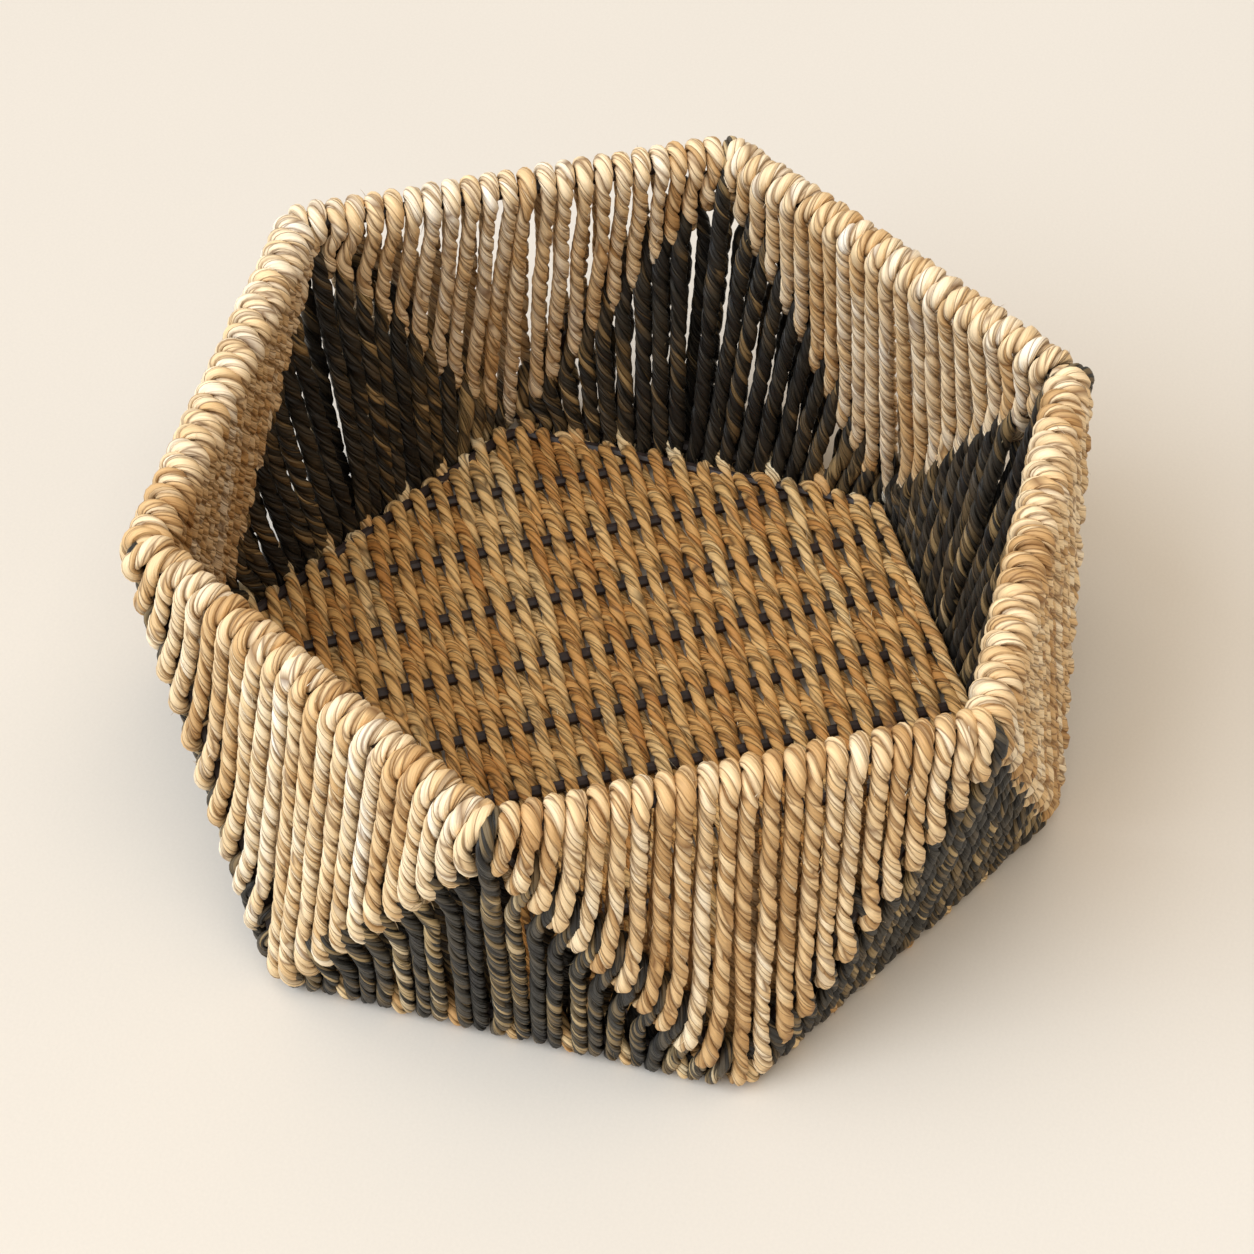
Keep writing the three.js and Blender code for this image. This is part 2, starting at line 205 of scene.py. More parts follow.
class RopeWork:
    """Gathers the plies of one piece of rope work and turns them into a mesh."""

    def __init__(self, name, seed, paler_batch_and_light=0.0):
        self.name = name
        self.paler_batch_and_light = paler_batch_and_light
        self.rng = np.random.default_rng(seed)
        self.points = []
        self.faces = []
        self.uvs = []
        self.fibres = []
        self.caps = []
        self.cap_uvs = []
        self.count = 0

    def add_tube(self, rings, along, around, fibre):
        """Adds a closed tube of rings, with its distances in millimetres and its fibre values."""
        spans, sides = rings.shape[:2]
        index = np.arange(spans * sides).reshape(spans, sides)
        near = index[:-1]
        far = index[1:]
        quads = np.stack([near, np.roll(near, -1, 1), np.roll(far, -1, 1), far], -1)
        turn = np.broadcast_to(np.arange(sides), near.shape) * (around / sides)
        start = np.broadcast_to(along[:-1, None], near.shape)
        finish = np.broadcast_to(along[1:, None], near.shape)
        ahead = turn + around / sides
        uv = np.stack([start, turn, start, ahead, finish, ahead, finish, turn], -1)
        self.points.append(rings.reshape(-1, 3))
        self.faces.append(quads.reshape(-1, 4) + self.count)
        self.uvs.append(uv.reshape(-1, 2) * MM_TO_UV)
        self.fibres.append(fibre.reshape(-1, 4))
        for ring, at, order in ((index[0], along[0], -1), (index[-1], along[-1], 1)):
            self.caps.append((ring[::order] + self.count).tolist())
            cap_uv = np.column_stack([np.full(sides, at), turn[0][::order]])
            self.cap_uvs.append(cap_uv * MM_TO_UV)
        self.count += spans * sides

    def add_rope(self, points, diameter, lay, inner, flare):
        """Twists two plies round a route, turning to the left as the rope in the basket does."""
        rng = self.rng
        count = len(points)
        _, side, top = carried_frames(points)
        along = distances(points)
        step = float(np.diff(along).mean())
        pace = 1.0 + drift(rng, count, step, *LAY_DRIFT)
        turn = -np.cumsum(np.gradient(along) * pace) * 2 * math.pi / lay
        turn += rng.uniform(*FIRST_TURN)
        thick = 1.0 + drift(rng, count, step, *THICKNESS_DRIFT)
        ends = np.clip(np.minimum(along, along[-1] - along) / END_TAPER, 0.0, 1.0)
        thick *= (END_SHARE + (1.0 - END_SHARE) * np.sqrt(ends)) * (1.0 + flare)
        # the panel's paler or darker rope: uneven batches, and painted light and shade for how the
        # panel faces the window
        strand_tone = patches(rng, count, step, *STRAND_STRETCH) + self.paler_batch_and_light
        strand_tone = np.clip(strand_tone, 0.0, 1.0)
        phi = math.pi + np.arange(PLY_SIDES) * 2 * math.pi / PLY_SIDES
        for ply in range(2):
            angle = turn + ply * math.pi + drift(rng, count, step, *ANGLE_DRIFT)
            cosine = np.cos(angle)[:, None]
            sine = np.sin(angle)[:, None]
            outward = cosine * side + sine * top
            across = cosine * top - sine * side
            swell = thick * (1.0 + drift(rng, count, step, *PLY_DRIFT))
            wide = diameter * PLY_WIDE * swell * (1.0 + drift(rng, count, step, *WIDTH_DRIFT))
            ridge = 1.0 + np.stack([drift(rng, count, step, *RIDGE_DRIFT) for _ in phi], 1)
            out = diameter * PLY_DEEP * swell[:, None] * np.cos(phi) * ridge
            out += diameter * PLY_CENTRE * thick[:, None]
            off = wide[:, None] * np.sin(phi) * ridge
            rings = points[:, None] + outward[:, None] * out[..., None]
            rings += across[:, None] * off[..., None]
            rings[..., 2] = np.maximum(rings[..., 2], ROPE_REST)
            ply_tone = patches(rng, count, step, *PLY_STRETCH)
            # the material reads these four: the tone of the strand, the tone of its leaf strips,
            # how deep between the plies a point lies, where it paints shade in the groove, and how
            # far inside the basket, where it paints warm shade
            fibre = np.empty((count, PLY_SIDES, 4))
            tone = strand_tone * STRAND_IN_PLY + ply_tone * (1.0 - STRAND_IN_PLY)
            fibre[..., 0] = tone[:, None]
            fibre[..., 1] = patches(rng, count, step, *LEAF_STRETCH)[:, None]
            fibre[..., 2] = (1.0 - np.cos(phi)) / 2
            fibre[..., 3] = inner[:, None]
            self.add_tube(rings, along, diameter * PLY_AROUND, fibre)

    def add_hairs(self, points, diameter, amount):
        """Adds stray fibres that stand out of a rope, each a thin bent sliver."""
        rng = self.rng
        tangent, side, top = carried_frames(points)
        share = np.linspace(0.0, 1.0, HAIR_RINGS)[:, None]
        phi = np.arange(HAIR_SIDES) * 2 * math.pi / HAIR_SIDES
        for pick in rng.integers(HAIR_MARGIN, len(points) - HAIR_MARGIN, amount):
            angle = rng.uniform(0, 2 * math.pi)
            out = side[pick] * math.cos(angle) + top[pick] * math.sin(angle)
            length = rng.uniform(*HAIR_LENGTH)
            lift = rng.uniform(*HAIR_LIFT)
            bend = np.cross(out, tangent[pick]) * rng.normal(*HAIR_BEND)
            heading = tangent[pick] * rng.choice([-1.0, 1.0])
            path = points[pick] + out * diameter * HAIR_ROOT + share * length * heading
            raised = share**HAIR_POWER * lift * HAIR_RISE * out
            path = path + raised + share**2 * bend * HAIR_SWING
            width = (rng.uniform(*HAIR_WIDTH) * (1.0 - HAIR_TAPER * share))[:, None]
            round_it = np.cos(phi)[:, None] * out + np.sin(phi)[:, None] * np.cross(heading, out)
            rings = path[:, None] + width * round_it
            rings[..., 2] = np.maximum(rings[..., 2], HAIR_REST)
            fibre = np.zeros((HAIR_RINGS, HAIR_SIDES, 4))
            fibre[..., 0] = rng.uniform(*HAIR_TONE)
            fibre[..., 1] = rng.uniform(0.0, 1.0)
            self.add_tube(rings, np.linspace(0, length, HAIR_RINGS), 1.0, fibre)

    def build(self, material, body, nodes):
        """Makes the object, hangs it on its body and hides the CAD pieces that it stands for."""
        points = np.concatenate(self.points) * MM
        faces = np.concatenate(self.faces).tolist() + self.caps
        mesh = bpy.data.meshes.new(self.name)
        mesh.from_pydata(points.tolist(), [], faces)
        layer = mesh.uv_layers.new(name="ply")
        layer.data.foreach_set("uv", np.concatenate(self.uvs + self.cap_uvs).ravel())
        fibre = mesh.attributes.new("fibre", "FLOAT_COLOR", "POINT")
        fibre.data.foreach_set("color", np.concatenate(self.fibres).ravel())
        mesh.shade_smooth()
        mesh.materials.append(material)
        piece = bpy.data.objects.new(self.name, mesh)
        bpy.context.scene.collection.objects.link(piece)
        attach(piece, body)
        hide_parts(*nodes)


# Wall windings

TURN_POINTS = np.linspace(0.0, math.pi, 7)  # the points of a half turn round a wire
UNDERFOOT = 0.84  # rope under the base ring is pressed to this share of its reach
PLACE_SPREAD = 0.28  # of a loop's place on its ring
CENTRE_SPREAD = 0.4  # of the middle strand's place
REACH_SPREAD = 0.3  # of a loop's place on its strut
SWAY_SPREAD = (0.5, 1.4)  # least and most of a strand's sway, in bows
FAN_TURN = 0.8  # a loop is widest this far before it is farthest out, in radians
STAND_OFF = (0.25, 0.2)  # how far a strand lies off the straight line between its wires, and spread
TIP_REACH = 7.0  # strands this near to a turn of the floor rope make way for it
SHORT_STRAND = 18.0  # a shorter strand is straight
LONG_STRAND = 60.0  # a longer one has the full sway
BEND_SHARE = 0.42  # a bend takes up this share of a strand at most
RING_END = 8.0  # from the ring's wire to where a strand is clear of it
RING_NEAR = 3.0  # from the ring's wire to where an inner strand starts to go round it
CORNER_END = 22.0  # from a corner to where the middle strand starts to rise over it


class Panel:
    """One wall panel, from its ring's edge to the corner of the other ring.

    It is under where its ring is the base ring, so that its rope goes underneath.
    """

    def __init__(self, start, end, apex, under):
        edge = end - start
        self.start = start
        self.length = np.linalg.norm(edge)
        self.along = edge / self.length
        middle = start + edge / 2
        self.depth = np.linalg.norm(apex - middle) - CORNER_EASE
        self.inward = unit(apex - middle)
        self.normal = unit(np.cross(self.along, self.inward))
        if np.dot(self.normal, [middle[0], middle[1], 0.0]) < 0:
            self.normal = -self.normal
        strut = unit(apex - start)
        self.cosine = float(np.dot(strut, self.along))
        self.sine = float(np.dot(strut, self.inward))
        self.under = under

    def place(self, across, deep, out):
        return self.start + self.along * across + self.inward * deep + self.normal * out


class Winding(NamedTuple):
    """How one panel is wound. A pair holds the value for each half of the panel."""

    half_loops: int = 11  # loops on each side of the middle strand
    room: tuple = (5.4, 5.4)  # what is left free on the ring at its two corners
    lean: float = 1.5  # of an outer strand at the ring; an inner one leans the other way
    square: tuple = (0.32, 0.32)  # share by which a strand turns to cross its strut squarely
    turn_in: tuple = (17.0, 17.0)  # length of that bend
    proud: float = -0.2  # how far a loop stands out round its strut
    clear: float = 0.0  # how far the middle strand stands out over the corner
    open_work: float = 1.0  # share of two leans by which inner strands slide aside at the strut
    fan: float = 0.0  # share by which a loop widens on its strut
    bow: float = 0.0  # sway of a strand halfway
    ring_flare: float = 0.0  # share by which a loop widens on the ring
    inner_flare: float = 0.0  # share by which the inner strands are thicker
    tips: tuple = ()  # places on the ring where the floor rope shows
    push: float = 0.0  # how far the strands beside such a place make way


class Route:
    """A rope's route, with how far inside the basket each point lies and how much it swells."""

    def __init__(self, panel):
        self.panel = panel
        self.points = []
        self.inner = []
        self.flare = []

    def put(self, across, deep, out, inner, wider=0.0):
        self.points.append(self.panel.place(across, deep, out))
        self.inner.append(inner)
        self.flare.append(wider)


def make_way(place, winding):
    """Where a strand meets the ring once it has made way for the floor rope."""
    for tip in winding.tips:
        away = place - tip
        if abs(away) < TIP_REACH:
            place += math.copysign(winding.push * (1 - abs(away) / TIP_REACH), away)
    return place


def round_ring(route, before, after, reach, winding):
    """From the inner strand before to the outer strand after, over the ring's wire."""
    past = reach * (UNDERFOOT if route.panel.under else 1.0)
    for turn in TURN_POINTS:
        share = turn / math.pi
        across = before * (1 - share) + after * share
        wider = winding.ring_flare * (0.5 + 0.5 * math.sin(turn))
        route.put(across, -past * math.sin(turn), -reach * math.cos(turn), 0.5, wider)


def over_corner(route, centre, reach, stand, winding):
    """The middle strand, which goes over the corner where both struts meet, and back inside."""
    depth = route.panel.depth
    clear = winding.clear
    past = reach * (1.0 if route.panel.under else UNDERFOOT) + clear
    wider = winding.inner_flare
    route.put(centre, RING_END, stand, 0.0, wider)
    route.put(centre, depth - CORNER_END, stand, 0.0, wider)
    route.put(centre, depth - RING_END, stand + clear, 0.0)
    for turn in TURN_POINTS:
        out = (reach + clear) * math.cos(turn)
        route.put(centre, depth + past * math.sin(turn), out, 0.0)
    route.put(centre, depth - RING_END, -stand - clear, 0.6)
    route.put(centre, depth - CORNER_END, -stand, 1.0, wider)
    route.put(centre, RING_END, -stand, 1.0, wider)


def round_strut(route, rng, slot, places, reach, stand, winding):
    """A strand down to its strut, the loop round it, and the strand back up inside."""
    panel = route.panel
    mirrored = slot > winding.half_loops
    half = 1 if mirrored else 0
    leaving, own, coming = (panel.length - at if mirrored else at for at in places)
    slope = panel.sine / panel.cosine
    square = winding.square[half]
    cross = np.array([-panel.sine * square, 1.0 - square + panel.cosine * square])
    cross = unit(cross)
    sharpness = math.sqrt(1.0 - (panel.cosine * cross[0] + panel.sine * cross[1]) ** 2)
    approach = min(winding.turn_in[half], BEND_SHARE * own * slope)
    run = (own + approach * cross[0]) / panel.cosine + rng.normal(0.0, REACH_SPREAD)
    foot = np.array([run * panel.cosine, run * panel.sine])
    entry = foot - cross * approach
    sway = winding.bow * (1.0 if slot % 2 else -1.0) * rng.uniform(*SWAY_SPREAD)

    def put(local, out, inner, wider=0.0):
        across = panel.length - local[0] if mirrored else local[0]
        route.put(across, local[1], out, inner, wider)

    def put_strand(begin, end, out, inner):
        """Between ring and strut: clear of the ring at one end, and swaying halfway."""
        length = np.linalg.norm(end - begin)
        if length < SHORT_STRAND:
            return
        by_ring = RING_END / length if out > 0 else 1.0 - RING_END / length
        halfway = (0.5, sway * min(1.0, length / LONG_STRAND))
        for part, aside in sorted([(by_ring, 0.0), halfway]):
            point = begin * (1 - part) + end * part
            point = point + np.array([-aside if mirrored else aside, 0.0])
            put(point, out, inner, winding.inner_flare * inner)

    put_strand(np.array([leaving, 0.0]), entry, stand, 0.0)
    put(entry, stand, 0.0)
    loop = reach + winding.proud
    for turn in TURN_POINTS:
        swung = foot + cross * loop * math.sin(turn) / sharpness
        wider = winding.fan * math.sin(turn + FAN_TURN) ** 2
        put(swung, loop * math.cos(turn), turn / math.pi, wider)
    aside = winding.open_work * winding.lean * (-2.0 if mirrored else 2.0)
    slid = foot + np.array([aside, -approach])
    put(slid, -stand, 1.0, winding.inner_flare)
    put_strand(slid, np.array([coming, 0.0]), -stand, 1.0)


def winding_route(panel, rng, reach, winding):
    """One rope's run round the ring, down to a strut and back inside, loop after loop."""
    route = Route(panel)
    total = 2 * winding.half_loops + 1
    first_room, last_room = winding.room
    spacing = (panel.length - first_room - last_room) / (total - 1)
    before = first_room - winding.lean
    for slot in range(total):
        place = first_room + spacing * slot + rng.normal(0.0, PLACE_SPREAD)
        outside = make_way(place - winding.lean, winding)
        inside = place + winding.lean
        round_ring(route, before, outside, reach, winding)
        stand = reach + rng.normal(*STAND_OFF)
        if slot == winding.half_loops:
            centre = panel.length / 2 + rng.normal(0.0, CENTRE_SPREAD)
            over_corner(route, centre, reach, stand, winding)
        else:
            places = (outside, place, inside)
            round_strut(route, rng, slot, places, reach, stand, winding)
        before = inside
        route.put(inside, RING_NEAR, -stand, 1.0)
    return np.array(route.points), np.array(route.inner), np.array(route.flare)


def rope_along(work, route, inner, flare, diameter, lay, softness, step, wander):
    """Eases a route, lets it wander a little as hand-wound rope does, and twists rope along it."""
    points = eased_route(route, step, softness)
    sharp = distances(route)
    at = np.linspace(0.0, sharp[-1], len(points))
    inner = np.interp(at, sharp, inner)
    flare = np.interp(at, sharp, flare)
    for axis in range(3):
        points[:, axis] += drift(work.rng, len(points), step, WANDER_LENGTH, wander)
    work.add_rope(points, diameter, lay, inner, flare)
    return points


# Floor weave

# The floor's runs lie parallel to one pair of the base ring's sides. Floor routes have their runs
# along x; this turns them into place.
FLOOR_TURN = np.array(
    [
        [math.cos(SIXTH / 2), math.sin(SIXTH / 2), 0.0],
        [-math.sin(SIXTH / 2), math.cos(SIXTH / 2), 0.0],
        [0.0, 0.0, 1.0],
    ]
)
FLOOR_APOTHEM = EDGE_WIRE_RADIUS * math.cos(SIXTH / 2)
FLOOR_ROOM = 2.0  # left free beside the outermost passes, both sides together
FLOOR_STEP = 1.8
PASS_END = 1.0  # a pass ends this far inside the edge wire
TURN_START = 2.0  # past the edge wire, to where the rope turns back
SHORT_TURN = 1.5  # how much farther it reaches where it turns at once
GOING_OUT = 1.0  # its height above the rings' wire on its way to the base ring, and back
COMING_BACK = -3.0
EDGE_RUN_OFF = 3.4  # from the outermost pass to the run on the edge wire
EDGE_STEP = 3.0  # from one point of that run to the next, and to the wire's corners
EDGE_RISE_SHARE = 0.8  # its height, as a share of the rise over a rod
EDGE_WAVE_SHARE = 0.2  # how far its height comes and goes, over this length
EDGE_WAVE = 4.0
EDGE_TURN_SHARE = 0.5
INSIDE_END = 1.0  # rope counts as outside this far past the edge wire, after a change this long
INSIDE_CHANGE = 3.0
# From the floor's edge to the base ring's wire, how far past that a turn of the rope shows, and how
# near to a side of the ring a turn lies that belongs to it
BASE_WIRE_OFF = 9.6
TIP_PAST = 5.4
NEAR_SIDE = 14.0
# A turn round the base ring's wire: how far past it, share of the way to the next run, and height
BASE_TURN = (
    (-4.5, 0.0, 2.5),
    (0.0, 0.0, 4.9),
    (6.3, 0.25, 2.4),
    (7.0, 0.5, -1.5),
    (4.6, 0.75, -4.4),
    (0.0, 1.0, -4.4),
)


def floor_passes(pitch):
    """The floor's parallel runs of rope: each one's place across the floor and half its length."""
    count = int((2 * FLOOR_APOTHEM - FLOOR_ROOM) / pitch)
    places = (np.arange(count) - (count - 1) / 2) * pitch
    return [(place, EDGE_WIRE_RADIUS - abs(place) * math.tan(SIXTH / 2)) for place in places]


def floor_route(rows, rise, first):
    """Over and under the rods, pass after pass, and round the base ring at every other turn."""
    route = []
    tips = []
    for index, (place, reach) in enumerate(rows):
        heading = 1.0 if index % 2 == 0 else -1.0
        sign = 1.0 if (index + first) % 2 == 0 else -1.0
        along = np.arange(-reach + PASS_END, reach - PASS_END, FLOOR_STEP)
        lift = sign * rise * np.cos(math.pi * along / ROD_SPACING)
        row = np.column_stack([along, np.full_like(along, place), BASE_HEIGHT + lift])
        route.extend(row if heading > 0 else row[::-1])
        if index + 1 == len(rows):
            break
        beyond, beyond_reach = rows[index + 1]
        shorter = min(reach, beyond_reach)
        end = heading * (shorter + TURN_START)
        if (index // 2) % 2 == 0:
            wire = heading * (shorter + BASE_WIRE_OFF / math.cos(SIXTH / 2))
            route.append((end, place, BASE_HEIGHT + GOING_OUT))
            for past, share, height in BASE_TURN:
                across = place * (1 - share) + beyond * share
                route.append((wire + heading * past, across, BASE_HEIGHT + height))
            route.append((end, beyond, BASE_HEIGHT + COMING_BACK))
            tips.append((wire + heading * TIP_PAST, (place + beyond) / 2))
        else:
            route.append((end + heading * SHORT_TURN, (place + beyond) / 2, BASE_HEIGHT))
    return np.array(route), tips


def edge_run(route, rows, rise, first):
    """Adds the run that lies on the floor's edge wire, beside the outermost pass."""
    place, reach = rows[0] if first else rows[-1]
    across = place + (-EDGE_RUN_OFF if first else EDGE_RUN_OFF)
    end = route[0] if first else route[-1]
    side = math.copysign(1.0, end[0])
    along = np.arange(-reach + EDGE_STEP, reach - EDGE_STEP, EDGE_STEP)[:: int(-side)]
    wave = EDGE_RISE_SHARE + EDGE_WAVE_SHARE * np.cos(along / EDGE_WAVE)
    run = np.column_stack([along, np.full_like(along, across), BASE_HEIGHT + rise * wave])
    height = BASE_HEIGHT + rise * EDGE_TURN_SHARE
    turn = np.array([[side * (reach + PASS_END), (place + across) / 2, height]])
    if first:
        return np.concatenate([run[::-1], turn, route])
    return np.concatenate([route, turn, run])


def inside_edge(route):
    """1 where a floor route lies inside the edge wire, and 0 where it is outside the basket."""
    angles = np.arange(3) * SIXTH
    directions = np.stack([np.cos(angles), np.sin(angles)])
    off = np.abs(route[:, :2] @ directions).max(axis=1)
    return np.clip((FLOOR_APOTHEM + INSIDE_END - off) / INSIDE_CHANGE, 0.0, 1.0)


def floor_tips(pitch):
    """Where the floor rope shows outside the base ring."""
    rows = floor_passes(pitch)
    half = len(rows) // 2
    found = []
    for number, part in enumerate((rows[:half], rows[half:])):
        found.extend(floor_route(part, 0.0, number * half)[1])
    return [np.array([along, across, 0.0]) @ FLOOR_TURN for along, across in found]


def tips_along(panel, tips):
    """The places of those turns along one side of the base ring."""
    places = []
    for tip in tips:
        away = tip - panel.start
        at = float(np.dot(away, panel.along))
        if abs(np.dot(away, panel.normal)) < NEAR_SIDE and 0 < at < panel.length:
            places.append(at)
    return tuple(places)


# Materials


def linear(code):
    """A hex sRGB colour as the linear colour that a shader takes."""
    parts = [int(code[place : place + 2], 16) / 255.0 for place in (1, 3, 5)]
    made = [part / 12.92 if part <= 0.04045 else ((part + 0.055) / 1.055) ** 2.4 for part in parts]
    return made + [1.0]


def node(tree, kind, inputs=(), stops=(), **settings):
    """Adds a node with its settings and links, and a colour ramp's stops.

    Inputs are given in order or by name, and take a value or another node's output.
    """
    made = tree.nodes.new(kind)
    for name, value in settings.items():
        setattr(made, name, value)
    named = inputs if isinstance(inputs, dict) else dict(enumerate(inputs))
    for key, value in named.items():
        if isinstance(value, bpy.types.NodeSocket):
            tree.links.new(value, made.inputs[key])
        else:
            made.inputs[key].default_value = value
    if stops:
        elements = made.color_ramp.elements
        elements.remove(elements[-1])
        elements[0].position = stops[0][0]
        elements[0].color = linear(stops[0][1])
        for place, code in stops[1:]:
            elements.new(place).color = linear(code)
    return made


def new_material(name):
    material = bpy.data.materials.new(name)
    material.use_nodes = True
    tree = material.node_tree
    return material, tree, tree.nodes["Principled BSDF"]


class Grass(NamedTuple):
    """The look of one kind of grass rope."""

    name: str
    tones: tuple  # from the darkest leaf strip to the palest
    groove_shade: str  # painted shade in the creases between leaf strips and in the groove between plies
    inside_shade: str  # painted warm shade laid over rope inside the basket
    inside_shade_share: float
    roughness: float
    strand_share: float = 0.48  # how much of a strip's tone comes from its strand
    crease_shade: float = 0.78  # darkness of the painted shade in the crease between two strips
    strips: float = 3.5  # leaf strips in 10 mm of the way round a ply


NATURAL_GRASS = Grass(
    name="twisted_seagrass_natural",
    tones=(
        (0.0, "#a98150"),
        (0.2, "#bf9662"),
        (0.36, "#dab581"),
        (0.52, "#ecd0a3"),
        (0.68, "#f4dfbb"),
        (0.84, "#faedd4"),
        (1.0, "#fcf6e9"),
    ),
    groove_shade="#6b431c",
    inside_shade="#f8d8a4",
    inside_shade_share=0.25,
    roughness=0.6,
)
BLACK_GRASS = Grass(
    name="twisted_seagrass_dyed_black",
    tones=(
        (0.0, "#1a1918"),
        (0.26, "#282624"),
        (0.44, "#3c3932"),
        (0.55, "#554c3e"),
        (0.65, "#7d6948"),
        (0.77, "#bfa577"),
        (1.0, "#ead7b4"),
    ),
    groove_shade="#100e0b",
    inside_shade="#c8b294",
    inside_shade_share=0.5,
    roughness=0.5,
    strand_share=0.38,
    crease_shade=0.85,
    strips=5.6,
)
FLOOR_GRASS = Grass(
    name="twisted_seagrass_floor",
    tones=(
        (0.0, "#b6854f"),
        (0.25, "#d3a76e"),
        (0.42, "#e5c28c"),
        (0.60, "#f0d5a5"),
        (0.80, "#f8e6c0"),
        (1.0, "#fcf1d6"),
    ),
    groove_shade="#3a2411",
    inside_shade="#e7d2b1",
    inside_shade_share=1.0,
    roughness=0.62,
)
STRETCH_SHARE = 0.2  # how much of a strip's tone comes from its stretch of the ply
STRIP_SLANT = 0.10  # how far leaf strips turn round their ply, in radians
MULTIPLIED = {"data_type": "RGBA", "blend_type": "MULTIPLY"}  # of colours, in a mix


# Twisted seagrass, dried and unvarnished: flat leaf strips with fine lines along them. The eye sees
# straw-coloured strips of uneven tone, dark lines where strips meet, and a dull silky sheen. The
# dark lines, a darker groove between the plies and a warmer, darker tone inside the basket are
# painted shade.
def grass_rope(look):
    material, tree, shader = new_material(look.name)
    fibre = node(tree, "ShaderNodeAttribute", attribute_name="fibre").outputs
    values = node(tree, "ShaderNodeSeparateColor", {"Color": fibre["Color"]}).outputs
    slanted = {"Vector": node(tree, "ShaderNodeUVMap", uv_map="ply").outputs["UV"]}
    slanted["Rotation"] = (0.0, 0.0, STRIP_SLANT)

    # one unit of the ply map is 10 mm: strips are 24 mm long and 2.9 mm wide, 1.8 mm in black rope
    place = node(tree, "ShaderNodeMapping", {**slanted, "Scale": (0.42, look.strips, 1.0)})
    cell = {"Vector": place.outputs["Vector"], "Scale": 1.0, "Randomness": 0.9}
    strip = node(tree, "ShaderNodeTexVoronoi", cell)
    edge = node(tree, "ShaderNodeTexVoronoi", cell, feature="DISTANCE_TO_EDGE").outputs["Distance"]
    # lines along each strip 0.6 mm apart, coarser than real ones so that they show
    place = node(tree, "ShaderNodeMapping", {**slanted, "Scale": (0.9, 8.5, 1.0)})
    grain = {"Vector": place.outputs["Vector"], "Scale": 2.0, "Detail": 3.0, "Distortion": 0.3}
    lines = node(tree, "ShaderNodeTexNoise", grain).outputs["Fac"]

    # a strip's tone comes in shares from its strand, its stretch of the ply and the strip itself
    own = node(tree, "ShaderNodeSeparateColor", {"Color": strip.outputs["Color"]}).outputs["Red"]
    tone = 0.0
    for value, share in (
        (values["Red"], look.strand_share),
        (values["Green"], STRETCH_SHARE),
        (own, 1.0 - STRETCH_SHARE - look.strand_share),
    ):
        summed = node(tree, "ShaderNodeMath", (value, share, tone), operation="MULTIPLY_ADD")
        tone = summed.outputs[0]
    colour = node(tree, "ShaderNodeValToRGB", {"Fac": tone}, look.tones).outputs["Color"]

    # each map range takes its value, the range it comes from and the range it is brought to
    shade = node(tree, "ShaderNodeMapRange", (lines, 0.33, 0.67, 0.84, 1.14)).outputs[0]
    shaded = {0: 1.0, 6: colour, 7: shade}
    colour = node(tree, "ShaderNodeMix", shaded, **MULTIPLIED).outputs[2]
    # painted shade: dark in the creases between strips and deep in the groove between the plies
    crease_shade = node(tree, "ShaderNodeMapRange", (edge, 0.0, 0.065, look.crease_shade, 0.0)).outputs[0]
    deep = node(tree, "ShaderNodeMapRange", (values["Blue"], 0.45, 0.9, 0.0, 0.75)).outputs[0]
    painted_groove_shade = node(tree, "ShaderNodeMath", (crease_shade, deep), operation="MAXIMUM").outputs[0]
    groove_shaded = {0: painted_groove_shade, 6: colour, 7: linear(look.groove_shade)}
    colour = node(tree, "ShaderNodeMix", groove_shaded, data_type="RGBA").outputs[2]
    # painted warm shade on rope inside the basket
    inside = node(tree, "ShaderNodeMath", (fibre["Alpha"], look.inside_shade_share), operation="MULTIPLY")
    inside_shaded = {0: inside.outputs[0], 6: colour, 7: linear(look.inside_shade)}
    colour = node(tree, "ShaderNodeMix", inside_shaded, **MULTIPLIED).outputs[2]
    tree.links.new(colour, shader.inputs["Base Color"])

    # strips bulge 0.6 mm between their edges, and their lines stand up a little less
    bulge = node(tree, "ShaderNodeMapRange", (edge, 0.0, 0.22, 0.0, 1.0)).outputs[0]
    height = node(tree, "ShaderNodeMath", (lines, 0.9, bulge), operation="MULTIPLY_ADD")
    relief = {"Height": height.outputs[0], "Strength": 0.9, "Distance": 0.0006}
    bump = node(tree, "ShaderNodeBump", relief)
    tree.links.new(bump.outputs["Normal"], shader.inputs["Normal"])
    uneven = (lines, 0.0, 1.0, look.roughness - 0.12, look.roughness + 0.14)
    rough = node(tree, "ShaderNodeMapRange", uneven).outputs[0]
    tree.links.new(rough, shader.inputs["Roughness"])
    shader.inputs["IOR"].default_value = 1.47
    shader.inputs["Specular IOR Level"].default_value = 0.32
    return material


# Mild steel wire, welded and dip painted dark brown: smooth, slightly glossy, with small runs.
def painted_wire():
    material, tree, shader = new_material("dip_painted_steel_wire")
    place = node(tree, "ShaderNodeTexCoord").outputs["Object"]
    # paint unevenness about 3 mm across, and grit 0.4 mm across
    runs = {"Vector": place, "Scale": 330.0, "Detail": 2.0}
    runs = node(tree, "ShaderNodeTexNoise", runs).outputs["Fac"]
    grit = {"Vector": place, "Scale": 2500.0, "Detail": 1.0}
    grit = node(tree, "ShaderNodeTexNoise", grit).outputs["Fac"]
    browns = ((0.3, "#1d1411"), (0.6, "#2c1f1b"), (0.8, "#3a2b27"))
    colour = node(tree, "ShaderNodeValToRGB", {"Fac": runs}, browns).outputs["Color"]
    tree.links.new(colour, shader.inputs["Base Color"])
    rough = node(tree, "ShaderNodeMapRange", (runs, 0.0, 1.0, 0.38, 0.6)).outputs[0]
    tree.links.new(rough, shader.inputs["Roughness"])
    bump = node(tree, "ShaderNodeBump", {"Height": grit, "Strength": 0.3, "Distance": 0.0002})
    tree.links.new(bump.outputs["Normal"], shader.inputs["Normal"])
    shader.inputs["IOR"].default_value = 1.5
    return material


